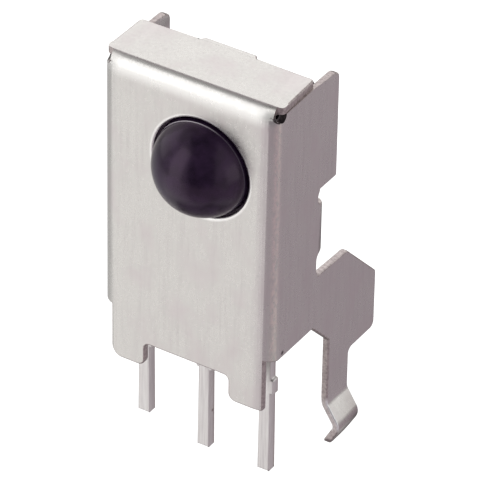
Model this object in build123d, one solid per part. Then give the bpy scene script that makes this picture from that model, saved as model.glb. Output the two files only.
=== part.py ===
from build123d import *

import os
from math import isclose

# Shielded infrared remote-control receiver, a through-hole component for a circuit board.
# One folded tin-plated steel can wraps a dark epoxy body, whose domed lens looks out of a round
# window. Three leads leave the body's lower end, and a kinked leg of the can snaps into the board.
#
# Millimetres, +Z up, +X to the right as seen from the front, and the lens looks along -Y.
# The origin is the middle lead's centre on the seating plane, where the can's feet meet the board.
# Every function below builds with Y = 0 at the can's front face, and main() moves the pieces back.

# Folded can: sheet and folds
sheet = 0.27                    # thickness of the steel sheet
bend_inside = 0.15              # inside radius of the right-angle folds
can_width = 7.10                # over the two side walls
can_height = 12.57              # seating plane to the top of the roof, at its front fold
fit_clearance = 0.03            # between the can and the body, on every side
relief_radius = 0.28            # relief hole at each top front corner, where three folds meet
relief_drop = 0.27              # relief hole's centre below the roof
relief_inset = 0.12             # relief hole's centre in from the side wall's outer face
relief_depth = 0.32             # relief hole's centre behind the front face

# Can: front plate and its two feet
foot_span = 6.34                # over the outer edges of the feet
notch_width = 3.50              # between the feet
notch_height = 1.00             # clear height of the notch above the board
notch_radius = 0.22             # upper corners of the notch
foot_inner_radius = 0.30        # lower corners of the feet, beside the notch
left_foot_radius = 0.42         # outer lower corner of the left foot
right_foot_radius = 0.12        # outer lower corner of the right foot

# Can: roof flap
roof_depth = 2.47               # front face to the flap's rear edge
roof_gap = 0.05                 # between the roof and the side walls' upper edges
roof_rise = 0.06                # how far the flap springs up towards its rear edge
roof_neck_inset = 0.27          # each side of the front fold is narrower than the can by this
roof_neck_depth = 0.46          # front face to where the flap reaches full width
roof_neck_slope = 0.12          # depth over which it widens
roof_left_overlap = 0.05        # flap stands past the left wall at its front
roof_right_overlap = -0.03      # and stops short of the right wall's outer face
roof_taper = 0.05               # flap's rear corners draw in by this
roof_corner_radius = 0.16       # rear corners of the flap
carrier_tab_width = 2.05        # remnant of the strip that carried the blank
carrier_tab_depth = 0.20
carrier_tab_slope = 0.14        # sloping shoulder on each side of the remnant

# Can: side walls, measured back from the front face and up from the board
wall_bottom = 2.15
right_lug_depth = 3.98          # rear edge of the upper lug
left_lug_depth = 3.90
lug_bottom = 7.93
lug_radius = 0.30               # upper rear corner
nick_depth = 2.82               # front end of the relief nicks above and below the rear tab
nick_radius = 0.31
lug_lower_radius = 0.08
tab_bottom = 5.28               # rear tab, folded in behind the body
tab_top = 7.26
tab_reach = 1.70                # over the fold, from the side wall's outer face
tab_corner_radius = 0.25
left_edge_depth = 3.35          # rear edge of the left wall below its nick

# Can: ear of the right wall and its kinked snap-in leg
ear_top = 4.31                  # upper edge where it leaves the nick
ear_shoulder = 4.90             # rear end of the ear's upper edge
ear_shoulder_height = 4.22
ear_depth = 6.94                # rear edge of the ear
ear_slope_end = 2.19            # lower end of the ear's sloping edge
ear_bottom = -0.24
ear_upper_radius = 0.20         # both ends of the sloping edge
ear_lower_radius = 0.27         # lower rear corner
leg_front = 3.80
leg_width = 1.41
leg_root_radius = 0.22          # where the leg's rear edge meets the ear
heel_start = 2.65               # the lower edge slopes down from here to the leg, at 45 degrees
heel_radius = 0.08
kink_start = 1.62               # below the seating plane
first_bend_drop = 0.26          # first fold's corner, below the start of the kink
kink_throw = 0.56               # how far the leg's middle line steps out
kink_rise = 0.88                # height of the outward slope
tip_return = 0.53               # how far the tip comes back in
tip_drop = 0.97                 # height of the inward slope
first_kink_bend = 0.50          # middle radius of the fold where the leg steps out
apex_bend = 0.38                # middle radius of the fold where it turns back in
tip_front_radius = 0.45
tip_back_radius = 0.55

# Moulded body and lens
body_thickness = 2.75
body_recess = 0.15              # body's lower end above the side walls' lower edges
body_corner_radius = 0.35
body_draft = 3.0                # degrees, both ways from the parting line at the lead row
lens_radius = 1.85
lens_x = 0.50                   # lens axis, to the right of the middle lead
lens_z = 9.30
window_gap = 0.08               # between the lens and the can's window, all round
window_edge_radius = 0.09       # rollover at the window's outer edge
ejector_mark_radius = 0.60
ejector_mark_depth = 0.06

# Leads and lead frame
pitch = 2.54
lead_row_depth = 1.37           # front face to the leads' middle plane
lead_width = 0.46
lead_thickness = 0.34
output_lead_length = 3.01       # below the seating plane
ground_lead_length = 3.51
supply_lead_length = 3.51
lead_tip_round = 0.05
dam_stub = 0.10                 # stub of the cut dam bar, on each side of a lead
dam_stub_bottom = -0.12
dam_stub_top = 0.52
lead_head_width = 1.05          # anchor head inside the body
lead_head_height = 1.60
lead_head_lift = 0.70           # head's lower edge above the body's lower end
lead_head_radius = 0.10
anchor_hole_radius = 0.20       # epoxy locks through it
paddle_width = 2.70             # die paddle on top of the ground lead
paddle_height = 5.40
paddle_top_above_lens = 1.30
paddle_corner_radius = 0.20

# Chips and bond wires
photodiode_side = 1.30
photodiode_thickness = 0.28
receiver_chip_width = 1.25
receiver_chip_height = 1.05
receiver_chip_thickness = 0.28
chip_gap = 0.55                 # between the two chips on the paddle
pad_inset = 0.15                # bond pads in from the chips' edges
ground_pad_drop = 0.55          # paddle's bond pad, below the receiver chip
wire_radius = 0.02
wire_loop = 0.18                # height of the wire's loop above its higher end
ball_radius = 0.045
ball_height = 0.03

# Sizes that follow from those above
bend_outside = bend_inside + sheet
bend_middle = bend_inside + sheet / 2
half_width = can_width / 2
wall_middle = half_width - sheet / 2
roof_fold_bottom = can_height - bend_outside
wall_top = can_height - sheet - roof_gap
body_front = sheet + fit_clearance
body_back = body_front + body_thickness
body_bottom = wall_bottom + body_recess
body_top = can_height - sheet - fit_clearance
tab_middle = body_back + fit_clearance + sheet / 2
tab_fold_start = tab_middle - bend_middle
leg_back = leg_front + leg_width
heel_bottom = wall_bottom - (leg_front - heel_start)
tip_bottom = -kink_start - first_bend_drop - kink_rise - tip_drop
window_radius = lens_radius + window_gap
lead_front = lead_row_depth - lead_thickness / 2
far = 4 * can_height            # a length past every side of the part


def rounded_face(corners):
    """Closed flat face through (u, v, radius) corners; a radius of 0 leaves the corner sharp."""
    points = [(u, v) for u, v, _ in corners]
    return make_face(FilletPolyline(*points, radius=[radius for _, _, radius in corners], close=True))


def strip_face(points, bend):
    """Flat face one sheet thick along an open middle line whose corners are folded to a radius."""
    return trace(FilletPolyline(*points, radius=bend), line_width=sheet)


def side_prism(corners, x_from, x_to):
    """Solid between two X planes with an outline in Y and Z."""
    return extrude(Plane.YZ.offset(x_from) * rounded_face(corners), x_to - x_from)


def can_channel():
    """Front plate and both side walls as one folded channel, still uncut at its edges."""
    middle_line = [
        (-wall_middle, far),
        (-wall_middle, sheet / 2),
        (wall_middle, sheet / 2),
        (wall_middle, far),
    ]
    return Pos(0, 0, -kink_start) * extrude(strip_face(middle_line, bend_middle), wall_top + kink_start)


def front_outline():
    """Prism that keeps the front plate: its two feet, the notch between them and its upper fold line."""
    foot = foot_span / 2
    notch = notch_width / 2
    outline = rounded_face([
        (-foot, 0, left_foot_radius),
        (-notch, 0, foot_inner_radius),
        (-notch, notch_height, notch_radius),
        (notch, notch_height, notch_radius),
        (notch, 0, foot_inner_radius),
        (foot, 0, right_foot_radius),
        (foot, roof_fold_bottom, 0),
        (-foot, roof_fold_bottom, 0),
    ])
    return extrude(Plane.XZ * outline, bend_outside, both=True)


def upper_wall_corners(lug_depth):
    """Rear and upper edge of a side wall: the tab's fold line and the lug above it."""
    return [
        (tab_fold_start, ear_top, 0),
        (tab_fold_start, lug_bottom, 0),
        (lug_depth, lug_bottom, lug_lower_radius),
        (lug_depth, wall_top, lug_radius),
        (-far, wall_top, 0),
        (-far, wall_bottom, 0),
    ]


def right_wall_outline():
    """Prism that keeps the right wall, with the heel, the leg's upper part and the ear."""
    return side_prism([
        (heel_start, wall_bottom, heel_radius),
        (leg_front, heel_bottom, heel_radius),
        (leg_front, -kink_start, 0),
        (leg_back, -kink_start, 0),
        (leg_back, ear_bottom, leg_root_radius),
        (ear_depth, ear_bottom, ear_lower_radius),
        (ear_depth, ear_slope_end, ear_upper_radius),
        (ear_shoulder, ear_shoulder_height, ear_upper_radius),
        *upper_wall_corners(right_lug_depth),
    ], foot_span / 2, half_width)


def left_wall_outline():
    """Prism that keeps the left wall, which has no ear."""
    return side_prism([
        (left_edge_depth, wall_bottom, lug_radius),
        (left_edge_depth, ear_top, lug_lower_radius),
        *upper_wall_corners(left_lug_depth),
    ], -half_width, -foot_span / 2)


def rear_tab(side):
    """Tab folded in behind the body from the right (side 1) or left (side -1) wall."""
    middle_line = [
        (side * wall_middle, tab_fold_start - sheet),
        (side * wall_middle, tab_middle),
        (side * (half_width - tab_reach), tab_middle),
    ]
    height = tab_top - tab_bottom + 2 * nick_radius
    return Pos(0, 0, tab_bottom - nick_radius) * extrude(strip_face(middle_line, bend_middle), height)


def relief_nick(bottom, top):
    """Cutter for the rounded nick in both walls above or below the rear tabs."""
    return side_prism([
        (nick_depth, bottom, nick_radius),
        (far, bottom, 0),
        (far, top, 0),
        (nick_depth, top, nick_radius),
    ], -half_width - sheet, half_width + sheet)


def flap_edge(overlap):
    """Plan of the roof flap's right half, from the front fold's neck to its rear edge's middle."""
    neck = half_width - roof_neck_inset
    front = half_width + overlap
    tab = carrier_tab_width / 2
    return [
        (neck, -sheet, 0),
        (neck, roof_neck_depth - roof_neck_slope, 0),
        (front, roof_neck_depth, roof_corner_radius),
        (front - roof_taper, roof_depth, roof_corner_radius),
        (tab + carrier_tab_slope, roof_depth, carrier_tab_slope),
        (tab, roof_depth + carrier_tab_depth, carrier_tab_slope / 2),
    ]


def roof_flap():
    """Roof: the front plate's upper fold and the flap that lies over the walls and the body."""
    middle_line = [
        (sheet / 2, roof_fold_bottom),
        (sheet / 2, can_height - sheet / 2),
        (roof_depth + carrier_tab_depth, can_height - sheet / 2 + roof_rise),
    ]
    flap = extrude(Plane.YZ * strip_face(middle_line, bend_middle), can_width, both=True)
    right_edge = flap_edge(roof_right_overlap)
    left_edge = [(-x, y, radius) for x, y, radius in reversed(flap_edge(roof_left_overlap))]
    plan = extrude(rounded_face(right_edge + left_edge), can_height + far)
    return flap & plan


def snap_leg():
    """Kinked lower part of the leg, folded out and back in, with a rounded tip."""
    bend_z = -kink_start - first_bend_drop
    apex = (wall_middle + kink_throw, bend_z - kink_rise)
    middle_line = [
        (wall_middle, -kink_start),
        (wall_middle, bend_z),
        apex,
        (apex[0] - tip_return, tip_bottom),
    ]
    strip = strip_face(middle_line, [first_kink_bend, apex_bend])
    leg = extrude(Plane.XZ.offset(-leg_front) * strip, -leg_width)
    side_view = side_prism([
        (leg_front, -kink_start, 0),
        (leg_front, tip_bottom, tip_front_radius),
        (leg_back, tip_bottom, tip_back_radius),
        (leg_back, -kink_start, 0),
    ], 0, far)
    return leg & side_view


def shield_case():
    """The whole can as one folded sheet with its window, reliefs, tabs and snap-in leg."""
    can = can_channel() & (front_outline() + right_wall_outline() + left_wall_outline())
    for side in (1, -1):
        corner = Pos(side * (half_width - relief_inset), relief_depth, can_height - relief_drop)
        can -= corner * Sphere(relief_radius)
    can += roof_flap() + snap_leg() + rear_tab(1) + rear_tab(-1)
    can -= relief_nick(tab_top, lug_bottom)
    can -= relief_nick(ear_top, tab_bottom)
    window = Plane.XZ * Pos(lens_x, lens_z)
    can -= window * Cylinder(window_radius, 2 * bend_outside)
    circles = can.edges().filter_by(GeomType.CIRCLE)
    rims = circles.filter_by(lambda edge: isclose(edge.radius, window_radius))
    can = fillet(rims.sort_by(Axis.Y)[0], window_edge_radius)
    tab_end = half_width - tab_reach
    thickness_edges = can.edges().filter_by(Axis.Y)
    tab_ends = thickness_edges.filter_by(lambda edge: isclose(abs(edge.center().X), tab_end))
    return fillet(tab_ends, tab_corner_radius)


def lead_outline(x, tip):
    """Face in X and Z of a lead's shank from its tip to the body's lower end, with its dam-bar stubs."""
    top = body_bottom + lead_head_lift
    shank = Pos(x, (top + tip) / 2) * Rectangle(lead_width, top - tip)
    stubs = Rectangle(lead_width + 2 * dam_stub, dam_stub_top - dam_stub_bottom)
    return shank + Pos(x, (dam_stub_top + dam_stub_bottom) / 2) * stubs


def lead_solid(face):
    """Lead of the frame's thickness from its face in X and Z, with a rounded lower end."""
    lead = extrude(Plane.XZ.offset(-lead_front) * face, -lead_thickness)
    bottom = lead.faces().sort_by(Axis.Z)[0]
    return fillet(bottom.edges(), lead_tip_round)


def signal_lead(side, length):
    """Outer lead, left (side -1) or right (side 1), with a locked anchor head inside the body."""
    x = side * pitch
    head_bottom = body_bottom + lead_head_lift
    head_x = x - side * (lead_head_width - lead_width) / 2
    head = Pos(head_x, head_bottom + lead_head_height / 2)
    face = lead_outline(x, -length)
    face += head * RectangleRounded(lead_head_width, lead_head_height, lead_head_radius)
    face -= head * Circle(anchor_hole_radius)
    return lead_solid(face)


def ground_lead():
    """Middle lead and its die paddle, which carries both chips behind the lens."""
    paddle_top = lens_z + paddle_top_above_lens
    paddle = Pos(lens_x, paddle_top - paddle_height / 2)
    neck_top = paddle_top - paddle_height + paddle_corner_radius
    neck = Pos(0, (neck_top + body_bottom) / 2) * Rectangle(lead_width, neck_top - body_bottom)
    face = lead_outline(0, -ground_lead_length) + neck
    face += paddle * RectangleRounded(paddle_width, paddle_height, paddle_corner_radius)
    return lead_solid(face)


def chip(x, z, width, height, thickness):
    """Silicon die on the paddle's front face."""
    return Pos(x, lead_front - thickness / 2, z) * Box(width, thickness, height)


photodiode_bottom = lens_z - photodiode_side / 2
receiver_chip_z = photodiode_bottom - chip_gap - receiver_chip_height / 2


def photodiode_chip():
    """Photodiode die on the lens axis."""
    return chip(lens_x, lens_z, photodiode_side, photodiode_side, photodiode_thickness)


def receiver_chip():
    """Amplifier and demodulator die below the photodiode."""
    return chip(lens_x, receiver_chip_z, receiver_chip_width, receiver_chip_height,
                receiver_chip_thickness)


def bond_wire(start, end):
    """Gold wire with a ball on its first pad and a level loop to its second; points are x, y, z."""
    loop_y = min(start[1], end[1]) - wire_loop
    path = Polyline(start, (start[0], loop_y, start[2]), (end[0], loop_y, end[2]), end)
    section = Plane(origin=start, z_dir=(0, -1, 0)) * Circle(wire_radius)
    wire = sweep(section, path=path, transition=Transition.RIGHT)
    x, y, z = start
    return wire + Pos(x, y - ball_height / 2, z) * Rot(90, 0, 0) * Cylinder(ball_radius, ball_height)


def bond_wires():
    """The five bond wires by node name, each from a pad on a die to a pad on a die or lead."""
    diode_y = lead_front - photodiode_thickness
    chip_y = lead_front - receiver_chip_thickness
    left = lens_x - receiver_chip_width / 2 + pad_inset
    right = lens_x + receiver_chip_width / 2 - pad_inset
    chip_top = receiver_chip_z + receiver_chip_height / 2 - pad_inset
    chip_bottom = receiver_chip_z - receiver_chip_height / 2 + pad_inset
    diode_pad = photodiode_bottom + pad_inset
    head_z = body_bottom + lead_head_lift + lead_head_height - pad_inset
    head_x = pitch - lead_head_width / 2
    return {
        "photodiode_signal_wire": bond_wire((left, diode_y, diode_pad), (left, chip_y, chip_top)),
        "photodiode_bias_wire": bond_wire(
            (right, lead_front, photodiode_bottom - chip_gap / 2), (right, chip_y, chip_top)),
        "output_wire": bond_wire((left, chip_y, chip_bottom), (-head_x, lead_front, head_z)),
        "supply_wire": bond_wire((right, chip_y, chip_bottom), (head_x, lead_front, head_z)),
        "ground_wire": bond_wire(
            (lens_x, chip_y, chip_bottom), (lens_x, lead_front, chip_bottom - ground_pad_drop)),
    }


def receiver_body(inserts):
    """Dark epoxy moulding with its lens, drafted both ways from the lead row and closed on its inserts."""
    width = can_width - 2 * (sheet + fit_clearance)
    middle_z = (body_top + body_bottom) / 2
    parting = Plane.XZ.offset(-lead_row_depth) * Pos(0, middle_z) * RectangleRounded(
        width, body_top - body_bottom, body_corner_radius)
    body = extrude(parting, lead_row_depth - body_front, taper=body_draft)
    body += extrude(parting, -(body_back - lead_row_depth), taper=body_draft)
    body += Pos(lens_x, body_front, lens_z) * Sphere(lens_radius)
    mark = Plane.XZ.offset(-body_back) * Pos(0, lens_z) * Circle(ejector_mark_radius)
    body -= extrude(mark, ejector_mark_depth)
    for insert in inserts:
        body -= insert
    return body


def main():
    """Build every piece, move it from the can's front face to the origin and write its file."""
    inserts = {
        "output_lead": signal_lead(-1, output_lead_length),
        "ground_lead": ground_lead(),
        "supply_lead": signal_lead(1, supply_lead_length),
        "photodiode_chip": photodiode_chip(),
        "receiver_chip": receiver_chip(),
        **bond_wires(),
    }
    pieces = {
        "shield_case": shield_case(),
        "receiver_body": receiver_body(inserts.values()),
        **inserts,
    }
    os.makedirs("parts", exist_ok=True)
    for node, shape in pieces.items():
        export_step(Pos(0, -lead_row_depth, 0) * shape, f"parts/{node}.step")


main()
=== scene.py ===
import logging
import math
from dataclasses import dataclass
from enum import Enum

import bmesh
import bpy
from mathutils import Matrix, Vector
from mathutils.bvhtree import BVHTree


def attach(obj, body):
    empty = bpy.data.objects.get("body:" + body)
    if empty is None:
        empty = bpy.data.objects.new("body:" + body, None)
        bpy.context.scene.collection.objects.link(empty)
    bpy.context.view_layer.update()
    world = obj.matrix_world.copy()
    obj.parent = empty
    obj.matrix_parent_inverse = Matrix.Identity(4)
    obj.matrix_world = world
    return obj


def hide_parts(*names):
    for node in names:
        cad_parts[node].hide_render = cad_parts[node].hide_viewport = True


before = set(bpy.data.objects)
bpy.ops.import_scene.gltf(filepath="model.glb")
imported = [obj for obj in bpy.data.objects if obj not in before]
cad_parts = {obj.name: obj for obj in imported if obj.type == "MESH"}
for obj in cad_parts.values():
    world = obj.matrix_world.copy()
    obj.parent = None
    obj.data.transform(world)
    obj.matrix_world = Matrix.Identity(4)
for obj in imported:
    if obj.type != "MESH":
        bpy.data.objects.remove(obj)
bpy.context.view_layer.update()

# A shielded infrared remote-control receiver, dressed round its CAD frame and set on a plain studio table.
# Everything is in metres in the CAD frame: +Z up from the circuit board, and the lens looks along -Y.

log = logging.getLogger("infrared_receiver")

MM = 0.001
WELD = 0.0001 * MM                  # corners of the CAD's triangles closer than this are one
SLIVER = 0.0002 * MM                # what rounding leaves narrower than this is closed up
TOUCH = 0.001 * MM                  # corners this near a surface count as lying on it
FLAT_ANGLE = math.radians(0.5)      # triangles that turn by less are one flat face
SHARP_ANGLE = math.radians(35)      # edges that turn by more are rounded
CREASE_ANGLE = math.radians(50)     # edges that turn by more still shade as creases
NodeInput = bpy.types.Node | bpy.types.NodeSocket | float | tuple[float, ...]
Size = tuple[float, float, float]


def metres(lengths_mm: tuple[float, ...]) -> tuple[float, ...]:
    """Return lengths given in millimetres as metres."""
    return tuple(length * MM for length in lengths_mm)


def linear(hex_colour: str) -> tuple[float, float, float, float]:
    """Turn an sRGB hex colour into linear RGBA.

    Args:
        hex_colour: colour as "#rrggbb".

    Returns:
        Linear red, green, blue and an alpha of 1.
    """
    channels = [int(hex_colour[i:i + 2], 16) / 255 for i in (1, 3, 5)]
    red, green, blue = (c / 12.92 if c <= 0.04045 else ((c + 0.055) / 1.055) ** 2.4 for c in channels)
    return red, green, blue, 1.0


def bare_tree(owner: bpy.types.Material | bpy.types.World) -> bpy.types.NodeTree:
    """Give a material or a world an empty node tree.

    Args:
        owner: the material or world.

    Returns:
        Its node tree.
    """
    owner.use_nodes = True
    owner.node_tree.nodes.clear()
    return owner.node_tree


def add_node(tree: bpy.types.NodeTree, kind: str, inputs: dict[str, NodeInput], **settings) -> bpy.types.Node:
    """Add a shader node with its settings, its values and its links.

    Args:
        tree: node tree that the node goes into.
        kind: Blender's type name of the node.
        inputs: by the name of the node's input, its value, or the node or output socket to link from.
        settings: properties set on the node itself.

    Returns:
        The new node.
    """
    node = tree.nodes.new(kind)
    for name, value in settings.items():
        setattr(node, name, value)
    sockets = [socket for socket in node.inputs if socket.enabled]
    for key, value in inputs.items():
        socket = next(socket for socket in sockets if socket.name == key and not socket.is_linked)
        if isinstance(value, bpy.types.Node):
            value = next(output for output in value.outputs if output.enabled)
        if isinstance(value, bpy.types.NodeSocket):
            tree.links.new(value, socket)
        else:
            socket.default_value = value
    return node


def spot(tree: bpy.types.NodeTree, place: bpy.types.NodeSocket, centre_mm: Size, radius_mm: float,
         strength: float) -> bpy.types.Node:
    """Mask one small soft-edged spot on a surface.

    Args:
        tree: node tree of the material.
        place: position on the piece, in metres.
        centre_mm: the spot's middle.
        radius_mm: distance at which it has faded out.
        strength: its value in the middle.

    Returns:
        A node that gives the strength in the middle of the spot and 0 outside it.
    """
    full_strength_share = 0.4
    away = add_node(tree, "ShaderNodeVectorMath", {"Vector": place}, operation="DISTANCE")
    away.inputs[1].default_value = Vector(centre_mm) * MM
    return add_node(tree, "ShaderNodeMapRange", {
        "Value": away.outputs["Value"],
        "From Min": full_strength_share * radius_mm * MM, "From Max": radius_mm * MM,
        "To Min": strength, "To Max": 0.0})


def mottle(tree: bpy.types.NodeTree, place: bpy.types.NodeSocket, patch_mm: Size, detail: float) -> bpy.types.Node:
    """Make a cloudy pattern whose patches have a real size.

    Args:
        tree: node tree of the material.
        place: position on the piece, in metres.
        patch_mm: about how long a patch is along X, Y and Z.
        detail: how many finer layers it has.

    Returns:
        The pattern's node, which gives values round 0.5.
    """
    sized = add_node(tree, "ShaderNodeMapping", {
        "Vector": place, "Scale": tuple(1 / (length * MM) for length in patch_mm)})
    return add_node(tree, "ShaderNodeTexNoise", {"Vector": sized, "Scale": 1.0, "Detail": detail})


@dataclass(frozen=True)
class Finish:
    """A finish: each kind of finish says which patterns and shader give its look."""

    name: str

    def material(self) -> bpy.types.Material:
        """Build the finish.

        Returns:
            Its material.
        """
        material = bpy.data.materials.new(self.name)
        tree = bare_tree(material)
        place = add_node(tree, "ShaderNodeTexCoord", {}).outputs["Object"]
        add_node(tree, "ShaderNodeOutputMaterial", {"Surface": self.shader(tree, place)})
        return material

    def shader(self, tree: bpy.types.NodeTree, place: bpy.types.NodeSocket) -> bpy.types.Node:
        """Build the finish's patterns and shader.

        Args:
            tree: node tree of the material.
            place: position on the piece, in metres.

        Returns:
            The shader node.
        """
        raise NotImplementedError


@dataclass(frozen=True)
class TinPlate(Finish):
    """Bright tin-plated steel sheet.

    The tin is a pale, slightly warm grey with a satin sheen. Rolling leaves faint streaks along the blank's
    length, handling leaves soft cloudy patches, and a fine grain breaks up every reflection. A whiter band
    along the front's top fold and round the window's rim is a painted highlight, and the right fold carries a
    pale speckled streak that is part wear and part painted highlight. The snap-in leg is painted darker and
    browner towards its tip as painted shade, and a spot of dark flux sits on the right wall's lower edge.
    """

    colour: str = "#dcd9d5"
    streak_colour: str = "#cfcac8"
    cloud_colour: str = "#dad1d1"
    # painted highlight: a whiter band along the front's top fold and round the window's rim
    painted_highlight_colour: str = "#faf8f5"
    fold_highlight_from_mm: tuple[float, float] = (11.70, 12.20)
    fold_highlight_back_mm: tuple[float, float] = (-1.25, -1.05)
    window_axis_mm: tuple[float, float] = (0.5, 9.3)
    window_rim_mm: tuple[float, float] = (2.03, 2.09)
    # part wear, part painted highlight: a pale speckled streak down the right fold
    worn_highlight_colour: str = "#f1e4df"
    worn_highlight_from_mm: tuple[float, float] = (3.30, 3.40)
    worn_highlight_to_mm: tuple[float, float] = (3.50, 3.54)
    worn_highlight_top_mm: tuple[float, float] = (11.9, 12.1)
    speck_mm: Size = (0.09, 0.09, 0.22)
    # painted shade: the snap-in leg darker and browner towards its tip
    leg_shade_colour: str = "#a39896"
    leg_shade_along: Size = (0.0, 0.3, -0.5)
    leg_shade_mm: tuple[float, float] = (1.90, 2.80)
    flux_colour: str = "#463a3c"
    flux_mm: Size = (3.55, -0.72, 2.36)
    flux_radius_mm: float = 0.11
    roughness: float = 0.30
    roughness_spread: float = 0.04
    streak_mm: Size = (0.13, 0.13, 1.8)
    cloud_mm: Size = (1.1, 1.1, 1.5)
    grain_mm: Size = (0.10, 0.10, 0.16)
    grain_height_mm: float = 0.0005

    def shader(self, tree: bpy.types.NodeTree, place: bpy.types.NodeSocket) -> bpy.types.Node:
        """Lay streaks and clouds over the tin's colour, and roughen it with clouds and grain.

        Args:
            tree: node tree of the material.
            place: position on the piece, in metres.

        Returns:
            The shader node.
        """
        streaks = mottle(tree, place, self.streak_mm, detail=2.0)
        clouds = mottle(tree, place, self.cloud_mm, detail=3.0)
        grain = mottle(tree, place, self.grain_mm, detail=3.0)
        streaked = add_node(tree, "ShaderNodeMix", {
            "Factor": add_node(tree, "ShaderNodeMapRange", {
                "Value": streaks, "From Min": 0.45, "From Max": 0.75, "To Max": 0.5}),
            "A": linear(self.colour), "B": linear(self.streak_colour)}, data_type="RGBA")
        clouded = add_node(tree, "ShaderNodeMix", {
            "Factor": add_node(tree, "ShaderNodeMapRange", {
                "Value": clouds, "From Min": 0.5, "From Max": 0.7, "To Max": 0.6}),
            "A": streaked, "B": linear(self.cloud_colour)}, data_type="RGBA")
        axes = add_node(tree, "ShaderNodeSeparateXYZ", {"Vector": place})
        # painted highlight along the front's top fold, fading out towards the back
        low, high = metres(self.fold_highlight_from_mm)
        rise = add_node(tree, "ShaderNodeMapRange", {
            "Value": axes.outputs["Z"], "From Min": low, "From Max": high}, interpolation_type="SMOOTHSTEP")
        fore, aft = metres(self.fold_highlight_back_mm)
        highlight_share = add_node(tree, "ShaderNodeMapRange", {
            "Value": axes.outputs["Y"], "From Min": fore, "From Max": aft, "To Min": rise, "To Max": 0.0})
        flat = add_node(tree, "ShaderNodeCombineXYZ", {"X": axes.outputs["X"], "Z": axes.outputs["Z"]})
        # painted highlight round the window's rim
        x, z = metres(self.window_axis_mm)
        out = add_node(tree, "ShaderNodeVectorMath", {"Vector": flat}, operation="DISTANCE")
        out.inputs[1].default_value = (x, 0.0, z)
        near, far = metres(self.window_rim_mm)
        rim = add_node(tree, "ShaderNodeMapRange", {
            "Value": out.outputs["Value"], "From Min": near, "From Max": far, "To Min": 1.0, "To Max": 0.0})
        fold_and_rim_highlight = add_node(tree, "ShaderNodeMath", {"Value": rim}, operation="MAXIMUM")
        tree.links.new(highlight_share.outputs[0], fold_and_rim_highlight.inputs[1])
        highlighted = add_node(tree, "ShaderNodeMix", {
            "Factor": fold_and_rim_highlight, "A": clouded, "B": linear(self.painted_highlight_colour)}, data_type="RGBA")
        # part wear, part painted highlight: pale specks in a streak down the right fold, below its top
        specks = mottle(tree, place, self.speck_mm, detail=2.0)
        low, high = metres(self.worn_highlight_top_mm)
        under = add_node(tree, "ShaderNodeMapRange", {
            "Value": axes.outputs["Z"], "From Min": low, "From Max": high, "To Min": 1.0, "To Max": 0.0})
        spotty = add_node(tree, "ShaderNodeMapRange", {
            "Value": specks, "From Min": 0.34, "From Max": 0.60, "To Max": under})
        low, high = metres(self.worn_highlight_to_mm)
        before = add_node(tree, "ShaderNodeMapRange", {
            "Value": axes.outputs["X"], "From Min": low, "From Max": high, "To Min": spotty, "To Max": 0.0})
        low, high = metres(self.worn_highlight_from_mm)
        worn_highlighted = add_node(tree, "ShaderNodeMix", {
            "Factor": add_node(tree, "ShaderNodeMapRange", {
                "Value": axes.outputs["X"], "From Min": low, "From Max": high, "To Max": before}),
            "A": highlighted, "B": linear(self.worn_highlight_colour)}, data_type="RGBA")
        # painted shade: darker down and back along the snap-in leg
        down = add_node(tree, "ShaderNodeVectorMath", {"Vector": place}, operation="DOT_PRODUCT")
        down.inputs[1].default_value = self.leg_shade_along
        low, high = metres(self.leg_shade_mm)
        leg_shaded = add_node(tree, "ShaderNodeMix", {
            "Factor": add_node(tree, "ShaderNodeMapRange", {
                "Value": down.outputs["Value"], "From Min": low, "From Max": high}),
            "A": worn_highlighted, "B": linear(self.leg_shade_colour)}, data_type="RGBA")
        spotted = add_node(tree, "ShaderNodeMix", {
            "Factor": spot(tree, place, self.flux_mm, self.flux_radius_mm, strength=0.9),
            "A": leg_shaded, "B": linear(self.flux_colour)}, data_type="RGBA")
        hazy = add_node(tree, "ShaderNodeMapRange", {
            "Value": clouds, "From Min": 0.3, "From Max": 0.7, "To Min": -0.03, "To Max": 0.03})
        sheen = add_node(tree, "ShaderNodeMapRange", {
            "Value": grain, "From Min": 0.3, "From Max": 0.7,
            "To Min": self.roughness - self.roughness_spread, "To Max": self.roughness + self.roughness_spread})
        rough = add_node(tree, "ShaderNodeMath", {"Value": hazy}, operation="ADD")
        tree.links.new(sheen.outputs[0], rough.inputs[1])
        bump = add_node(tree, "ShaderNodeBump", {"Height": grain, "Distance": self.grain_height_mm * MM})
        return add_node(tree, "ShaderNodeBsdfPrincipled", {
            "Base Color": spotted, "Metallic": 1.0, "Roughness": rough, "Normal": bump})


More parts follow.
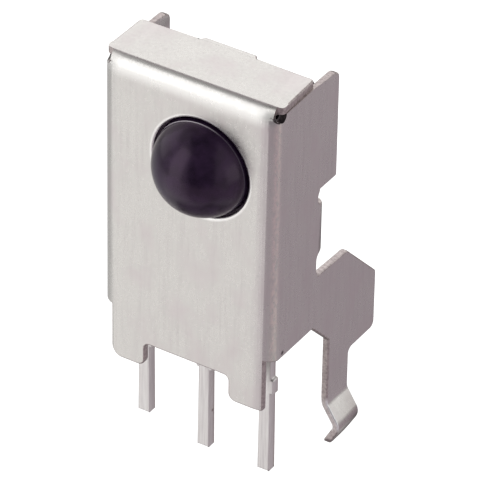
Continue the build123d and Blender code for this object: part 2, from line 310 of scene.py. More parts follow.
@dataclass(frozen=True)
class ShearedEdge(Finish):
    """Sheared edge of the tin plate.

    Shearing tears through the tin into the steel, so the edge is duller and browner than the sheet, with fine
    lines across the sheet's thickness. Along the snap-in leg's kink, the edge's rounding carries a painted
    highlight in white.
    """

    colour: str = "#ccc1bf"
    torn_colour: str = "#ada2a1"
    # painted highlight: a white streak on the rounding along the snap-in leg's kink
    kink_highlight_colour: str = "#ffffff"
    kink_highlight_mm: tuple[float, float] = (-2.75, -1.75)
    kink_highlight_fade_mm: float = 0.2
    roughness: float = 0.40
    tear_depth_mm: float = 0.002
    line_mm: Size = (0.10, 0.10, 0.10)

    def shader(self, tree: bpy.types.NodeTree, place: bpy.types.NodeSocket) -> bpy.types.Node:
        """Tear the edge's colour and surface with a fine noise, and paint a highlight on the kink's rounding.

        Args:
            tree: node tree of the material.
            place: position on the piece, in metres.

        Returns:
            The shader node.
        """
        torn = mottle(tree, place, self.line_mm, detail=3.0)
        share = add_node(tree, "ShaderNodeMapRange", {"Value": torn, "From Min": 0.4, "From Max": 0.65})
        colour = add_node(tree, "ShaderNodeMix", {
            "Factor": share, "A": linear(self.colour), "B": linear(self.torn_colour)}, data_type="RGBA")
        axes = add_node(tree, "ShaderNodeSeparateXYZ", {"Vector": place})
        facing = add_node(tree, "ShaderNodeSeparateXYZ", {
            "Vector": add_node(tree, "ShaderNodeNewGeometry", {}).outputs["Normal"]})
        # painted highlight on the kink's rounding, only where it faces one way
        rounded = add_node(tree, "ShaderNodeMapRange", {
            "Value": facing.outputs["Y"], "From Min": -0.995, "From Max": -0.96, "To Min": 0.15})
        low, high = metres(self.kink_highlight_mm)
        fade = self.kink_highlight_fade_mm * MM
        below = add_node(tree, "ShaderNodeMapRange", {
            "Value": axes.outputs["Z"], "From Min": high, "From Max": high + fade, "To Min": rounded, "To Max": 0.0})
        kink_highlight = add_node(tree, "ShaderNodeMapRange", {
            "Value": axes.outputs["Z"], "From Min": low - fade, "From Max": low, "To Max": below})
        kink_highlighted = add_node(tree, "ShaderNodeMix", {
            "Factor": kink_highlight, "A": colour, "B": linear(self.kink_highlight_colour)}, data_type="RGBA")
        bump = add_node(tree, "ShaderNodeBump", {"Height": torn, "Distance": self.tear_depth_mm * MM})
        return add_node(tree, "ShaderNodeBsdfPrincipled", {
            "Base Color": kink_highlighted, "Metallic": 1.0, "Roughness": self.roughness, "Normal": bump})


@dataclass(frozen=True)
class TinnedLead(Finish):
    """Hot-dipped tin on a stamped lead.

    The lead is silvery with fine drawing lines along its length, and its rear half is painted darker and browner
    as painted shade. The middle one carries a small flux stain.
    """

    colour: str = "#eeebe9"
    line_colour: str = "#d8d3d2"
    stain_colour: str = "#8d7d72"
    stained_mm: Size = (0.26, 0.02, -1.95)
    stain_radius_mm: float = 0.08
    # painted shade: the lead's rear half darker and browner
    rear_shade_colour: str = "#a3958f"
    rear_shade_mm: tuple[float, float] = (0.02, 0.20)
    roughness: float = 0.44
    roughness_spread: float = 0.05
    line_mm: Size = (0.07, 0.07, 1.6)
    line_depth_mm: float = 0.001

    def shader(self, tree: bpy.types.NodeTree, place: bpy.types.NodeSocket) -> bpy.types.Node:
        """Draw lines along the lead, stain it in one spot and paint shade on its rear.

        Args:
            tree: node tree of the material.
            place: position on the piece, in metres.

        Returns:
            The shader node.
        """
        lines = mottle(tree, place, self.line_mm, detail=2.0)
        drawn = add_node(tree, "ShaderNodeMix", {
            "Factor": add_node(tree, "ShaderNodeMapRange", {
                "Value": lines, "From Min": 0.4, "From Max": 0.7, "To Max": 0.6}),
            "A": linear(self.colour), "B": linear(self.line_colour)}, data_type="RGBA")
        stained = add_node(tree, "ShaderNodeMix", {
            "Factor": spot(tree, place, self.stained_mm, self.stain_radius_mm, strength=0.8),
            "A": drawn, "B": linear(self.stain_colour)}, data_type="RGBA")
        axes = add_node(tree, "ShaderNodeSeparateXYZ", {"Vector": place})
        # painted shade on the lead's rear half
        low, high = metres(self.rear_shade_mm)
        shaded = add_node(tree, "ShaderNodeMix", {
            "Factor": add_node(tree, "ShaderNodeMapRange", {
                "Value": axes.outputs["Y"], "From Min": low, "From Max": high}),
            "A": stained, "B": linear(self.rear_shade_colour)}, data_type="RGBA")
        rough = add_node(tree, "ShaderNodeMapRange", {
            "Value": lines, "From Min": 0.3, "From Max": 0.7,
            "To Min": self.roughness - self.roughness_spread, "To Max": self.roughness + self.roughness_spread})
        bump = add_node(tree, "ShaderNodeBump", {"Height": lines, "Distance": self.line_depth_mm * MM})
        return add_node(tree, "ShaderNodeBsdfPrincipled", {
            "Base Color": shaded, "Metallic": 1.0, "Roughness": rough, "Normal": bump})


@dataclass(frozen=True)
class Epoxy(Finish):
    """Dyed transfer-moulded epoxy that passes only infrared light.

    To the eye it is a near-black violet. The lens has the mould's polish, and the rest of the body is satin.
    """

    colour: str
    cloud_colour: str
    roughness: float
    grain_height_mm: float
    gloss: float = 0.5
    ior: float = 1.55
    sheen_colour: str = "#ffdeff"
    grain_mm: Size = (0.06, 0.06, 0.06)
    cloud_mm: Size = (0.5, 0.5, 0.5)

    def shader(self, tree: bpy.types.NodeTree, place: bpy.types.NodeSocket) -> bpy.types.Node:
        """Cloud the dye a little and grain the surface.

        Args:
            tree: node tree of the material.
            place: position on the piece, in metres.

        Returns:
            The shader node.
        """
        clouds = mottle(tree, place, self.cloud_mm, detail=3.0)
        grain = mottle(tree, place, self.grain_mm, detail=2.0)
        share = add_node(tree, "ShaderNodeMapRange", {"Value": clouds, "From Min": 0.35, "From Max": 0.65})
        colour = add_node(tree, "ShaderNodeMix", {
            "Factor": share, "A": linear(self.colour), "B": linear(self.cloud_colour)}, data_type="RGBA")
        rough = add_node(tree, "ShaderNodeMapRange", {
            "Value": clouds, "From Min": 0.3, "From Max": 0.7,
            "To Min": self.roughness * 0.9, "To Max": self.roughness * 1.1})
        bump = add_node(tree, "ShaderNodeBump", {"Height": grain, "Distance": self.grain_height_mm * MM})
        return add_node(tree, "ShaderNodeBsdfPrincipled", {
            "Base Color": colour, "Roughness": rough, "IOR": self.ior, "Specular IOR Level": self.gloss,
            "Specular Tint": linear(self.sheen_colour), "Normal": bump})


@dataclass(frozen=True)
class PaintedRimReflection(Finish):
    """Thin line round the lens, just behind the plate's front face, painted as a reflection of the window's
    bright rim in the dome.

    It is a dull grey violet, with a painted highlight that is palest at the upper left.
    """

    # painted reflection: the line's colour and its pale upper left
    colour: str = "#4a4050"
    reflection_highlight_colour: str = "#fbf2fb"
    centre_mm: tuple[float, float] = (0.5, 9.3)
    reach_mm: float = 1.8
    slant: float = 2.0
    patch_mm: Size = (0.3, 0.3, 0.3)

    def shader(self, tree: bpy.types.NodeTree, place: bpy.types.NodeSocket) -> bpy.types.Node:
        """Paint a highlight on the line, palest towards its upper left.

        Args:
            tree: node tree of the material.
            place: position on the piece, in metres.

        Returns:
            The shader node.
        """
        axes = add_node(tree, "ShaderNodeSeparateXYZ", {"Vector": place})
        aside = add_node(tree, "ShaderNodeMath", {"Value": axes.outputs["X"]}, operation="MULTIPLY_ADD")
        aside.inputs[1].default_value = -self.slant
        tree.links.new(axes.outputs["Z"], aside.inputs[2])
        middle = (self.centre_mm[1] - self.slant * self.centre_mm[0]) * MM
        scuffs = mottle(tree, place, self.patch_mm, detail=2.0)
        # painted highlight, palest at the upper left of the line
        highlight_share = add_node(tree, "ShaderNodeMapRange", {
            "Value": aside, "From Min": middle, "From Max": middle + self.slant * self.reach_mm * MM})
        colour = add_node(tree, "ShaderNodeMix", {
            "Factor": highlight_share, "A": linear(self.colour), "B": linear(self.reflection_highlight_colour)}, data_type="RGBA")
        rough = add_node(tree, "ShaderNodeMapRange", {"Value": scuffs, "To Min": 0.3, "To Max": 0.5})
        return add_node(tree, "ShaderNodeBsdfPrincipled", {"Base Color": colour, "Roughness": rough})


@dataclass(frozen=True)
class PaintedShadePit(Finish):
    """Tin pinched into a pit where three folds meet.

    It is painted dark as painted shade, for the can's dark inside seen through the corner, and its rim towards
    the can's middle is painted paler as painted light.
    """

    # painted shade: a dark pit for the can's dark inside seen through the corner
    colour: str = "#241c1e"
    patch_colour: str = "#54484b"
    lit_rim_colour: str = "#a0949a"
    lit_rim_mm: tuple[float, float] = (3.24, 3.34)
    patch_mm: Size = (0.15, 0.15, 0.15)

    def shader(self, tree: bpy.types.NodeTree, place: bpy.types.NodeSocket) -> bpy.types.Node:
        """Blotch the pit's painted shade with two browns and paint its inner rim paler.

        Args:
            tree: node tree of the material.
            place: position on the piece, in metres.

        Returns:
            The shader node.
        """
        blots = mottle(tree, place, self.patch_mm, detail=3.0)
        share = add_node(tree, "ShaderNodeMapRange", {"Value": blots, "From Min": 0.4, "From Max": 0.65})
        pit = add_node(tree, "ShaderNodeMix", {
            "Factor": share, "A": linear(self.colour), "B": linear(self.patch_colour)}, data_type="RGBA")
        axes = add_node(tree, "ShaderNodeSeparateXYZ", {"Vector": place})
        # painted light: the pit's rim towards the can's middle paler
        low, high = metres(self.lit_rim_mm)
        colour = add_node(tree, "ShaderNodeMix", {
            "Factor": add_node(tree, "ShaderNodeMapRange", {
                "Value": axes.outputs["X"], "From Min": low, "From Max": high}),
            "A": linear(self.lit_rim_colour), "B": pit}, data_type="RGBA")
        rough = add_node(tree, "ShaderNodeMapRange", {"Value": blots, "To Min": 0.5, "To Max": 0.8})
        return add_node(tree, "ShaderNodeBsdfPrincipled", {"Base Color": colour, "Roughness": rough})


@dataclass(frozen=True)
class HiddenGrain(Finish):
    """Polished silicon die or drawn gold wire, which the dark epoxy hides; each has a faint grain."""

    colour: str
    grain_colour: str
    roughness: float
    metallic: float
    grain_mm: Size = (0.05, 0.05, 0.05)

    def shader(self, tree: bpy.types.NodeTree, place: bpy.types.NodeSocket) -> bpy.types.Node:
        """Mottle the surface with its grain.

        Args:
            tree: node tree of the material.
            place: position on the piece, in metres.

        Returns:
            The shader node.
        """
        grain = mottle(tree, place, self.grain_mm, detail=2.0)
        share = add_node(tree, "ShaderNodeMapRange", {"Value": grain, "From Min": 0.4, "From Max": 0.7})
        colour = add_node(tree, "ShaderNodeMix", {
            "Factor": share, "A": linear(self.colour), "B": linear(self.grain_colour)}, data_type="RGBA")
        return add_node(tree, "ShaderNodeBsdfPrincipled", {
            "Base Color": colour, "Metallic": self.metallic, "Roughness": self.roughness})


class Look(Enum):
    """The finishes of the receiver's surfaces."""

    TIN = TinPlate("tin_plate_sheet")
    EDGE = ShearedEdge("sheared_steel_edge")
    HOLLOW = PaintedShadePit("tin_plate_painted_shade_pit")
    LEAD = TinnedLead("tinned_lead_frame")
    LENS = Epoxy("epoxy_lens_polished", "#190d21", "#2c1b35", 0.24, 0.0, 0.45)
    RIM_REFLECTION = PaintedRimReflection("epoxy_painted_rim_reflection")
    BODY = Epoxy("epoxy_body_satin", "#1d151f", "#251b27", 0.40, 0.0015)
    SILICON = HiddenGrain("silicon_die", "#4a4a58", "#5a5a6c", 0.2, 0.0)
    GOLD = HiddenGrain("gold_bond_wire", "#e7c066", "#d9ae52", 0.2, 1.0)


class Palette:
    """Builds each finish's material once."""

    def __init__(self) -> None:
        """Start with no material built."""
        self.built: dict[Look, bpy.types.Material] = {}

    def material(self, look: Look) -> bpy.types.Material:
        """Build a finish's material at its first use.

        Args:
            look: the finish.

        Returns:
            Its material.
        """
        if look not in self.built:
            self.built[look] = look.value.material()
        return self.built[look]


def merged_copy(node: str) -> bmesh.types.BMesh:
    """Copy a CAD node's mesh with its triangles joined into whole flat faces.

    Args:
        node: name of the CAD node.

    Returns:
        A new bmesh, which the caller frees.
    """
    mesh = bmesh.new()
    mesh.from_mesh(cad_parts[node].data)
    bmesh.ops.remove_doubles(mesh, verts=mesh.verts, dist=WELD)
    bmesh.ops.dissolve_limit(mesh, angle_limit=FLAT_ANGLE, verts=mesh.verts, edges=mesh.edges,
                             use_dissolve_boundaries=False, delimit=set())
    return mesh


def cut(mesh: bmesh.types.BMesh, point: tuple[float, ...], normal: tuple[float, ...]) -> None:
    """Split the faces of a mesh where a plane crosses them.

    Args:
        mesh: mesh to change.
        point: a point on the plane, in metres.
        normal: the direction that the plane faces.
    """
    bmesh.ops.bisect_plane(mesh, geom=mesh.verts[:] + mesh.edges[:] + mesh.faces[:],
                           plane_co=point, plane_no=normal)


def break_edges(mesh: bmesh.types.BMesh, edges: list[bmesh.types.BMEdge], radius: float, segments: int,
                material: int = -1) -> None:
    """Round the sharp ones among some edges, as blanking, folding or moulding leaves them.

    Args:
        mesh: mesh to change.
        edges: edges that may be rounded; those that turn by less than SHARP_ANGLE stay.
        radius: width of the rounding, in metres.
        segments: faces across the rounding.
        material: the rounding's material number, or -1 for that of the faces beside it.
    """
    sharp = [edge for edge in edges if edge.is_manifold and edge.calc_face_angle() > SHARP_ANGLE]
    bmesh.ops.bevel(mesh, geom=sharp, offset=radius, offset_type="OFFSET", segments=segments, profile=0.5,
                    affect="EDGES", material=material, clamp_overlap=False)


def piece_from(mesh: bmesh.types.BMesh, name: str, materials: list[bpy.types.Material]) -> bpy.types.Object:
    """Close a finished mesh's slivers and turn it into a smooth-shaded piece that rides on the part.

    Args:
        mesh: the piece's mesh in the CAD frame, freed here.
        name: the piece's name.
        materials: its materials, in the order of the faces' material numbers.

    Returns:
        The new piece.
    """
    bmesh.ops.remove_doubles(mesh, verts=mesh.verts, dist=SLIVER)
    bmesh.ops.dissolve_degenerate(mesh, dist=SLIVER, edges=mesh.edges)
    for edge in mesh.edges:
        edge.smooth = edge.is_manifold and edge.calc_face_angle() < CREASE_ANGLE
    data = bpy.data.meshes.new(name)
    mesh.to_mesh(data)
    mesh.free()
    if "custom_normal" in data.attributes:
        data.attributes.remove(data.attributes["custom_normal"])
    for material in materials:
        data.materials.append(material)
    piece = bpy.data.objects.new(name, data)
    bpy.context.scene.collection.objects.link(piece)
    normals = piece.modifiers.new("flat_faces_stay_flat", "WEIGHTED_NORMAL")
    normals.weight = 50
    normals.keep_sharp = True
    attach(piece, "root")
    return piece


@dataclass
class ShieldCan:
    """The folded tin-plate can, with its sheared edges told apart from its skin."""

    palette: Palette
    edge_radius_mm: float = 0.06
    edge_segments: int = 3
    sheet_mm: float = 0.27
    skin_share: float = 1.25
    relief_mm: Size = (3.05, -0.60, 11.80)
    window_mm: tuple[float, float, float] = (0.5, 9.3, 1.93)
    window_roll_mm: float = 0.09
    window_points: int = 144
    window_steps: int = 5
    window_slack_mm: float = 0.004
    window_clear_mm: float = 0.12
    front_mm: float = -1.37
    bend_start_mm: Size = (3.13, -1.37, 12.15)
    bend_radius_mm: float = 0.42
    easing_mm: float = 0.45
    easing_slope: float = 0.20
    easing_cuts: int = 4
    skin_slack_mm: float = 0.02
    pinch_mm: Size = (3.43, -1.05, 12.30)
    pinch_radius_mm: float = 0.28
    pinch_slack_mm: float = 0.005
    pinch_clear_mm: float = 0.15
    wall_top_mm: float = 12.25
    wall_slack_mm: float = 0.002
    roof_under_mm: float = 12.30
    roof_fold_mm: float = -0.95
    roof_rear_mm: float = 1.10
    roof_rise_mm: float = 0.06
    roof_slack_mm: float = 0.01
    roof_step_mm: float = 0.04
    seat_gap_mm: float = 0.004

    def mark_sheared_faces(self, mesh: bmesh.types.BMesh) -> None:
        """Give material 1 to each face that isn't one of the sheet's two skins.

        The right-hand pinched pit gets material 2. The left-hand one stays tin.

        Args:
            mesh: mesh of the can before its edges are rounded.
        """
        tree = BVHTree.FromBMesh(mesh)
        largest: dict[bmesh.types.BMFace, tuple[float, Vector]] = {}
        for loops in mesh.calc_loop_triangles():
            a, b, c = (loop.vert.co for loop in loops)
            size = (b - a).cross(c - a).length
            if size > largest.get(loops[0].face, (-1.0, a))[0]:
                largest[loops[0].face] = (size, (a + b + c) / 3)
        for face, (_, centre) in largest.items():
            hit = tree.ray_cast(centre - face.normal * TOUCH, -face.normal)
            through = hit[3] if hit[0] is not None else math.inf
            face.material_index = 0 if through < self.skin_share * self.sheet_mm * MM else 1
        across, back, up = Vector(self.pinch_mm) * MM
        for face in mesh.faces:
            off = [math.dist((abs(vert.co.x), vert.co.y, vert.co.z), (across, back, up)) for vert in face.verts]
            if all(abs(length - self.pinch_radius_mm * MM) < self.pinch_slack_mm * MM for length in off):
                face.material_index = 2 if face.verts[0].co.x > 0 else 0

    def roll_window_rim(self, mesh: bmesh.types.BMesh) -> None:
        """Make the window's rolled rim and bore anew as fine rings.

        Args:
            mesh: mesh of the can before its edges are rounded.
        """
        x, z, radius = metres(self.window_mm)
        roll, front, back = metres((self.window_roll_mm, self.front_mm, self.front_mm + self.sheet_mm))
        slack = self.window_slack_mm * MM

        def off(vert: bmesh.types.BMVert) -> float:
            """Return a corner's distance from the window's axis."""
            return math.hypot(vert.co.x - x, vert.co.z - z)

        def ring(across: float, y: float) -> list[bmesh.types.BMVert]:
            """Find the loose edge's corners on a circle round the axis.

            Args:
                across: the circle's radius, in metres.
                y: its depth, in metres.

            Returns:
                The corners in order of angle.
            """
            verts = {vert for edge in mesh.edges if edge.is_boundary for vert in edge.verts
                     if abs(off(vert) - across) < slack and abs(vert.co.y - y) < slack}
            return sorted(verts, key=lambda vert: math.atan2(vert.co.z - z, vert.co.x - x))

        rim = [face for face in mesh.faces if all(
            off(vert) < radius + roll + slack and vert.co.y < back + slack for vert in face.verts)]
        bmesh.ops.delete(mesh, geom=rim, context="FACES")
        for across, y in ((radius + roll, front), (radius, back)):
            loose = [edge for edge in mesh.edges if edge.is_boundary and all(
                abs(off(vert) - across) < slack and abs(vert.co.y - y) < slack for vert in edge.verts)]
            parts = max(2, self.window_points // max(1, len(loose)))
            for edge in loose:
                start, end = edge.verts
                turn = math.atan2(start.co.z - z, start.co.x - x)
                swing = (math.atan2(end.co.z - z, end.co.x - x) - turn + math.pi) % (2 * math.pi) - math.pi
                for part in range(parts - 1, 0, -1):
                    other, vert = bmesh.utils.edge_split(edge, start, part / (part + 1))
                    edge = other if start in other.verts else edge
                    angle = turn + swing * part / parts
                    vert.co = (x + across * math.cos(angle), y, z + across * math.sin(angle))
        outer = ring(radius + roll, front)
        for step in range(1, self.window_steps + 1):
            bend = math.radians(90 * step / self.window_steps)
            across, y = radius + roll * (1 - math.sin(bend)), front + roll * (1 - math.cos(bend))
            inner = []
            for vert in outer:
                angle = math.atan2(vert.co.z - z, vert.co.x - x)
                inner.append(mesh.verts.new((x + across * math.cos(angle), y, z + across * math.sin(angle))))
            for one in range(len(outer)):
                mesh.faces.new((outer[one - 1], inner[one - 1], inner[one], outer[one]))
            outer = inner
        bore = [edge for edge in mesh.edges if edge.is_boundary and (
            all(vert in set(outer) for vert in edge.verts) or all(
                abs(off(vert) - radius) < slack and abs(vert.co.y - back) < slack for vert in edge.verts))]
        bmesh.ops.bridge_loops(mesh, edges=bore)
        bmesh.ops.recalc_face_normals(mesh, faces=mesh.faces[:])

    def seat_height(self, y: float) -> float:
        """Return the height that a side wall's top comes to at a depth, in metres.

        Args:
            y: depth in the CAD frame, in metres.

        Returns:
            The height, which follows the roof's underside as far back as the roof reaches.
        """
        rise = self.roof_rise_mm / (self.roof_rear_mm - self.roof_fold_mm)
        seat = (self.roof_under_mm - self.seat_gap_mm) * MM
        covered = y < (self.roof_rear_mm + self.roof_slack_mm) * MM
        return seat + (rise * (y - self.roof_fold_mm * MM) if covered else 0.0)

    def seat_roof(self, mesh: bmesh.types.BMesh) -> None:
        """Raise the side walls' tops to just under the roof, which rests on them.

        Args:
            mesh: mesh of the can before its edges are rounded.
        """
        for y in (self.roof_rear_mm, self.roof_rear_mm + self.roof_step_mm):
            cut(mesh, (0, y * MM, 0), (0, 1, 0))
        top, slack = metres((self.wall_top_mm, self.wall_slack_mm))
        for vert in mesh.verts:
            if abs(vert.co.z - top) < slack and vert.co.y > (self.pinch_mm[1] + self.pinch_clear_mm) * MM:
                vert.co.z = self.seat_height(vert.co.y)

    def ease_folds(self, mesh: bmesh.types.BMesh) -> None:
        """Let the front's outer skin lean back a little before its folds, as springy sheet does.

        Args:
            mesh: mesh of the can before its edges are rounded.
        """
        side, front, top = Vector(self.bend_start_mm) * MM
        width, radius = self.easing_mm * MM, self.bend_radius_mm * MM
        for part in range(self.easing_cuts):
            back = width * (1 - part / self.easing_cuts)
            for plane, normal in (((0, 0, top - back), (0, 0, 1)), ((side - back, 0, 0), (1, 0, 0)),
                                  ((back - side, 0, 0), (1, 0, 0))):
                cut(mesh, plane, normal)
        for vert in mesh.verts:
            x, y, z = abs(vert.co.x), vert.co.y, vert.co.z
            deep = front + radius - y
            out = math.hypot(deep, max(x - side, 0), max(z - top, 0))
            if deep > 0 and out > radius - self.skin_slack_mm * MM:
                lean = 0.0
                for past in (x - side + width, z - top + width):
                    near, far = min(max(past, 0), width), max(past - width, 0)
                    lean += self.easing_slope * (near * near / (2 * width) + far)
                vert.co.y += lean * deep / radius

    def clear_edges(self, mesh: bmesh.types.BMesh) -> list[bmesh.types.BMEdge]:
        """Return the edges away from the front fold's pinched corners, the window's rim and the roof's seat.

        Args:
            mesh: mesh of the can; its long edges are split where they leave those corners.

        Returns:
            The edges that can be rounded.
        """
        inner, rear, bottom = Vector(self.relief_mm) * MM
        cut(mesh, (0, rear, 0), (0, 1, 0))
        x, z, radius = metres(self.window_mm)
        clear = radius + self.window_clear_mm * MM
        kept = {vert for vert in mesh.verts
                if abs(vert.co.x) > inner and vert.co.y < rear - TOUCH and vert.co.z > bottom
                or vert.co.y < rear and math.hypot(vert.co.x - x, vert.co.z - z) < clear}
        under, roof_rear = metres((self.roof_under_mm, self.roof_rear_mm + self.roof_slack_mm))
        kept |= {vert for vert in mesh.verts if abs(vert.co.x) > x and (
            abs(vert.co.z - under) < TOUCH
            or abs(vert.co.z - self.seat_height(vert.co.y)) < TOUCH and vert.co.y < roof_rear)}
        return [edge for edge in mesh.edges if not kept.intersection(edge.verts)]

    def build(self) -> bpy.types.Object:
        """Build the can.

        Returns:
            The finished piece.
        """
        mesh = merged_copy("shield_case")
        self.mark_sheared_faces(mesh)
        self.roll_window_rim(mesh)
        self.seat_roof(mesh)
        self.ease_folds(mesh)
        break_edges(mesh, self.clear_edges(mesh), self.edge_radius_mm * MM, self.edge_segments, material=1)
        looks = (Look.TIN, Look.EDGE, Look.HOLLOW)
        can = piece_from(mesh, "shield_can", [self.palette.material(look) for look in looks])
        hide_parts("shield_case")
        return can


@dataclass
class EpoxyBody:
    """The dark epoxy body with its polished lens, whose dome is made finer than the CAD's."""

    palette: Palette
    edge_radius_mm: float = 0.05
    edge_segments: int = 2
    lens_centre_mm: Size = (0.5, -1.07, 9.3)
    lens_radius_mm: float = 1.85
    dome_cuts: int = 2
    dome_slack_mm: float = 0.0005
    rim_reflection_mm: tuple[float, float] = (-1.435, -1.385)
    near_mm: float = 0.02

    def round_dome(self, mesh: bmesh.types.BMesh) -> None:
        """Split the dome's faces and set their corners on the true sphere, with material 1.

        The thin ring round the lens, which carries a painted reflection of the window's rim, gets material 2.

        Args:
            mesh: mesh of the body before its edges are rounded.
        """
        centre, radius = Vector(self.lens_centre_mm) * MM, self.lens_radius_mm * MM
        front = centre.y - self.dome_slack_mm * MM
        dome = [face for face in mesh.faces if all(vert.co.y < front + TOUCH for vert in face.verts)]
        for face in dome:
            face.material_index = 1
        edges = list({edge for face in dome for edge in face.edges})
        bmesh.ops.subdivide_edges(mesh, edges=edges, cuts=self.dome_cuts, use_grid_fill=True)
        for vert in mesh.verts:
            if vert.co.y < front:
                vert.co = centre + (vert.co - centre).normalized() * radius
        for y in self.rim_reflection_mm:
            cut(mesh, (0, y * MM, 0), (0, 1, 0))
        fore, aft = metres(self.rim_reflection_mm)
        for face in mesh.faces:
            if fore < face.calc_center_median().y < aft:
                face.material_index = 2

    def outer_edges(self, mesh: bmesh.types.BMesh) -> list[bmesh.types.BMEdge]:
        """Return the edges of the body's outside, without those round the leads, dies and wires in it.

        Args:
            mesh: mesh of the body.

        Returns:
            The edges that nothing embedded touches.
        """
        inserts = bmesh.new()
        for name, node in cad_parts.items():
            if name not in ("receiver_body", "shield_case"):
                inserts.from_mesh(node.data)
        tree = BVHTree.FromBMesh(inserts)
        inserts.free()
        return [edge for edge in mesh.edges
                if tree.find_nearest((edge.verts[0].co + edge.verts[1].co) / 2)[3] > self.near_mm * MM]

    def build(self) -> bpy.types.Object:
        """Build the body.

        Returns:
            The finished piece.
        """
        mesh = merged_copy("receiver_body")
        for face in mesh.faces:
            face.material_index = 0
        self.round_dome(mesh)
        break_edges(mesh, self.outer_edges(mesh), self.edge_radius_mm * MM, self.edge_segments)
        looks = (Look.BODY, Look.LENS, Look.RIM_REFLECTION)
        body = piece_from(mesh, "epoxy_body", [self.palette.material(look) for look in looks])
        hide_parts("receiver_body")
        return body


@dataclass
class LeadFrame:
    """The three tinned leads."""

    palette: Palette
    edge_radius_mm: float = 0.06
    edge_segments: int = 4
    inside_mm: float = 2.45
    coat_mm: float = 0.035
    coat_below_mm: float = 2.2
    tip_mm: float = 0.2

    def dip(self, mesh: bmesh.types.BMesh) -> None:
        """Thicken a lead downwards, where its tin coat ran and set.

        Args:
            mesh: mesh of one lead.
        """
        tip = min(vert.co.z for vert in mesh.verts)
        ends = [vert.co for vert in mesh.verts if vert.co.z < tip + self.tip_mm * MM]
        x = (min(end.x for end in ends) + max(end.x for end in ends)) / 2
        y = (min(end.y for end in ends) + max(end.y for end in ends)) / 2
        half = max(end.x for end in ends) - x
        top = self.coat_below_mm * MM
        for vert in mesh.verts:
            if vert.co.z < top:
                swell = 1 + self.coat_mm * MM / half * (top - vert.co.z) / (top - tip)
                vert.co.x, vert.co.y = x + (vert.co.x - x) * swell, y + (vert.co.y - y) * swell

    def build(self) -> list[bpy.types.Object]:
        """Build the leads.

        Returns:
            The three finished pieces.
        """
        leads = []
        for node in ("output_lead", "ground_lead", "supply_lead"):
            mesh = merged_copy(node)
            inside = self.inside_mm * MM
            cut(mesh, (0, 0, inside), (0, 0, 1))
            shank = [edge for edge in mesh.edges if all(vert.co.z < inside + TOUCH for vert in edge.verts)]
            break_edges(mesh, shank, self.edge_radius_mm * MM, self.edge_segments)
            self.dip(mesh)
            lead = piece_from(mesh, f"{node}_tinned", [self.palette.material(Look.LEAD)])
            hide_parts(node)
            leads.append(lead)
        return leads


@dataclass
class Dies:
    """The two silicon dies and their bond wires, which stay as the CAD has them inside the epoxy."""

    palette: Palette

    def build(self) -> list[bpy.types.Object]:
        """Dress the dies and wires.

        Returns:
            The CAD's own pieces, dressed.
        """
        dressed = []
        for node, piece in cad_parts.items():
            if node.endswith("_chip") or node.endswith("_wire"):
                look = Look.SILICON if node.endswith("_chip") else Look.GOLD
                piece.data.materials.clear()
                piece.data.materials.append(self.palette.material(look))
                dressed.append(piece)
        return dressed


@dataclass(frozen=True)
class Panel:
    """A soft lamp or a dark flag, set by its direction from the receiver, in degrees.

    level is its radiance, where 1 is pure white; a lamp adds it to what is behind it. tint colours it.
    """

    name: str
    azimuth: float
    elevation: float
    distance_mm: float
    size_mm: tuple[float, float]
    level: float
    tint: str = "#ffffff"


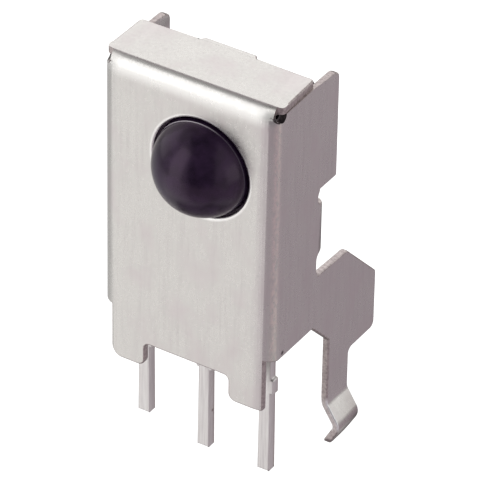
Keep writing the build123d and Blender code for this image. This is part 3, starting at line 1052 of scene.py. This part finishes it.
@dataclass
class Studio:
    """Camera, pale table, white surroundings, soft lamps and dark flags."""

    azimuth: float = 31.96
    elevation: float = 34.79
    roll: float = 1.03
    distance_mm: float = 163.494
    aim_mm: Size = (0.015, 2.045, 4.159)
    lens_mm: float = 348.33
    sensor_mm: float = 36.0
    clip_mm: tuple[float, float] = (5.0, 10000.0)
    floor_drop_mm: float = 45.0
    floor_size_mm: float = 4000.0
    floor_paint: str = "#e3e2e1"
    floor_glow: float = 0.7
    surroundings: float = 0.52
    lamps: tuple[Panel, ...] = (
        Panel("key_softbox", -31, 12, 200, (110, 300), 0.80),
        Panel("left_softbox", -88, 20, 200, (150, 150), 0.40),
        Panel("right_softbox", 92, 0, 200, (110, 130), 0.50),
        Panel("rear_softbox", -148, 35, 200, (200, 200), 0.67),
        Panel("front_bounce", -32, -38, 62, (64, 64), 0.38),
        Panel("right_rear_bounce", 137, 14, 200, (120, 140), 0.46),
    )
    flags: tuple[Panel, ...] = (
        Panel("overhead_flag", 24, 76, 112, (110, 120), 0.10),
        Panel("rear_overhead_flag", -122, 67, 110, (60, 60), 0.34, "#fff4fb"),
        Panel("camera_side_flag", 24, 18, 120, (130, 180), 0.09),
        Panel("right_table_flag", 24, -38, 62, (90, 56), 0.41, "#fff0fb"),
        Panel("rear_right_table_flag", 116, -38, 62, (90, 56), 0.41, "#fff0fb"),
        Panel("rear_left_table_flag", -165, -42, 62, (70, 56), 0.15, "#fff4fb"),
        Panel("left_flag", -98, -33, 70, (155, 60), 0.56),
        Panel("under_flag", 0, -90, 42, (46, 46), 0.22, "#fff4fb"),
    )

    def facing(self, azimuth: float, elevation: float, distance_mm: float, roll: float = 0.0) -> Matrix:
        """Return the placing of something round the receiver that looks at it along its own -Z.

        Args:
            azimuth: direction round the receiver, where 0 is in front of the lens.
            elevation: height above the horizon.
            distance_mm: distance from the point that the camera aims at.
            roll: turn about its own line of sight.

        Returns:
            The matrix from its own axes to the CAD frame.
        """
        turn = (Matrix.Rotation(math.radians(azimuth), 4, "Z")
                @ Matrix.Rotation(math.radians(90 - elevation), 4, "X")
                @ Matrix.Rotation(math.radians(roll), 4, "Z"))
        place = Vector(self.aim_mm) * MM + turn @ Vector((0, 0, distance_mm * MM))
        return Matrix.Translation(place) @ turn

    def add(self, name: str, data: bpy.types.ID, placing: Matrix) -> bpy.types.Object:
        """Put a camera, lamp or mesh into the scene.

        Args:
            name: the object's name.
            data: the camera, lamp or mesh.
            placing: the matrix from its own axes to the CAD frame.

        Returns:
            The new object.
        """
        thing = bpy.data.objects.new(name, data)
        bpy.context.scene.collection.objects.link(thing)
        thing.matrix_world = placing
        return thing

    def camera(self) -> None:
        """Build the camera and make it the scene's."""
        data = bpy.data.cameras.new("camera")
        data.lens = self.lens_mm
        data.sensor_width = self.sensor_mm
        data.clip_start, data.clip_end = metres(self.clip_mm)
        placing = self.facing(self.azimuth, self.elevation, self.distance_mm, self.roll)
        bpy.context.scene.camera = self.add("camera", data, placing)

    def seen_directly(self, tree: bpy.types.NodeTree) -> bpy.types.Node:
        """Tell what is seen straight or through something clear from what only lights or mirrors.

        Args:
            tree: node tree of the material or world.

        Returns:
            A node that gives 1 for camera and transmission rays and 0 for all others.
        """
        path = add_node(tree, "ShaderNodeLightPath", {})
        seen = add_node(tree, "ShaderNodeMath", {"Value": path.outputs["Is Camera Ray"]}, operation="MAXIMUM")
        tree.links.new(path.outputs["Is Transmission Ray"], seen.inputs[1])
        return seen

    def square(self, name: str, size_mm: tuple[float, float], material: bpy.types.Material) -> bpy.types.Mesh:
        """Make a flat rectangle in its own XY plane.

        Args:
            name: the mesh's name.
            size_mm: its width and length.
            material: its material.

        Returns:
            The mesh.
        """
        mesh = bmesh.new()
        bmesh.ops.create_grid(mesh, x_segments=1, y_segments=1, size=0.5)
        bmesh.ops.scale(mesh, verts=mesh.verts, vec=(size_mm[0] * MM, size_mm[1] * MM, 1))
        data = bpy.data.meshes.new(name)
        mesh.to_mesh(data)
        mesh.free()
        data.materials.append(material)
        return data

    def table(self) -> None:
        """Build the pale table top, which the held receiver stays clear of."""
        material = bpy.data.materials.new("white_table")
        tree = bare_tree(material)
        paint = add_node(tree, "ShaderNodeBsdfDiffuse", {"Color": linear(self.floor_paint)})
        glow = add_node(tree, "ShaderNodeMath", {"Value": self.seen_directly(tree)}, operation="MULTIPLY")
        glow.inputs[1].default_value = self.floor_glow
        light = add_node(tree, "ShaderNodeEmission", {"Strength": glow})
        both = add_node(tree, "ShaderNodeAddShader", {"Shader": paint})
        tree.links.new(light.outputs[0], both.inputs[1])
        add_node(tree, "ShaderNodeOutputMaterial", {"Surface": both})
        data = self.square("table_top", (self.floor_size_mm, self.floor_size_mm), material)
        self.add("table_top", data, Matrix.Translation((0, 0, -self.floor_drop_mm * MM)))

    def world(self) -> None:
        """Build the white surroundings."""
        world = bpy.data.worlds.new("studio")
        bpy.context.scene.world = world
        tree = bare_tree(world)
        strength = add_node(tree, "ShaderNodeMapRange", {
            "Value": self.seen_directly(tree), "To Min": self.surroundings, "To Max": 1.0})
        white = add_node(tree, "ShaderNodeBackground", {"Color": (1.0, 1.0, 1.0, 1.0), "Strength": strength})
        add_node(tree, "ShaderNodeOutputWorld", {"Surface": white})

    def lamp(self, panel: Panel) -> None:
        """Build a soft rectangular lamp that adds the panel's level to what is behind it.

        Args:
            panel: the lamp's name, direction, size, level and tint.
        """
        data = bpy.data.lights.new(panel.name, "AREA")
        data.shape = "RECTANGLE"
        data.size, data.size_y = metres(panel.size_mm)
        data.energy = panel.level * math.pi * data.size * data.size_y
        data.color = linear(panel.tint)[:3]
        softbox = self.add(panel.name, data, self.facing(panel.azimuth, panel.elevation, panel.distance_mm))
        softbox.visible_camera = False

    def flag(self, panel: Panel) -> None:
        """Build a dull card that only reflections show, as felt held up round a shiny thing does.

        Args:
            panel: the card's name, direction, size, level and tint.
        """
        material = bpy.data.materials.new(panel.name)
        tree = bare_tree(material)
        felt = add_node(tree, "ShaderNodeEmission", {"Color": linear(panel.tint), "Strength": panel.level})
        add_node(tree, "ShaderNodeOutputMaterial", {"Surface": felt})
        data = self.square(panel.name, panel.size_mm, material)
        card = self.add(panel.name, data, self.facing(panel.azimuth, panel.elevation, panel.distance_mm))
        card.visible_camera = card.visible_diffuse = card.visible_shadow = False

    def build(self) -> None:
        """Build the whole studio."""
        bpy.context.scene.view_settings.view_transform = "Standard"
        self.camera()
        self.table()
        self.world()
        for panel in self.lamps:
            self.lamp(panel)
        for panel in self.flags:
            self.flag(panel)


def report(piece: bpy.types.Object) -> None:
    """Log a piece's name and its number of faces."""
    log.info("%s: %d faces", piece.name, len(piece.data.polygons))


def main() -> None:
    """Build the receiver and its studio."""
    logging.basicConfig(level=logging.INFO)
    palette = Palette()
    report(ShieldCan(palette).build())
    report(EpoxyBody(palette).build())
    for lead in LeadFrame(palette).build():
        report(lead)
    for die in Dies(palette).build():
        report(die)
    Studio().build()


if __name__ == "__main__":
    main()
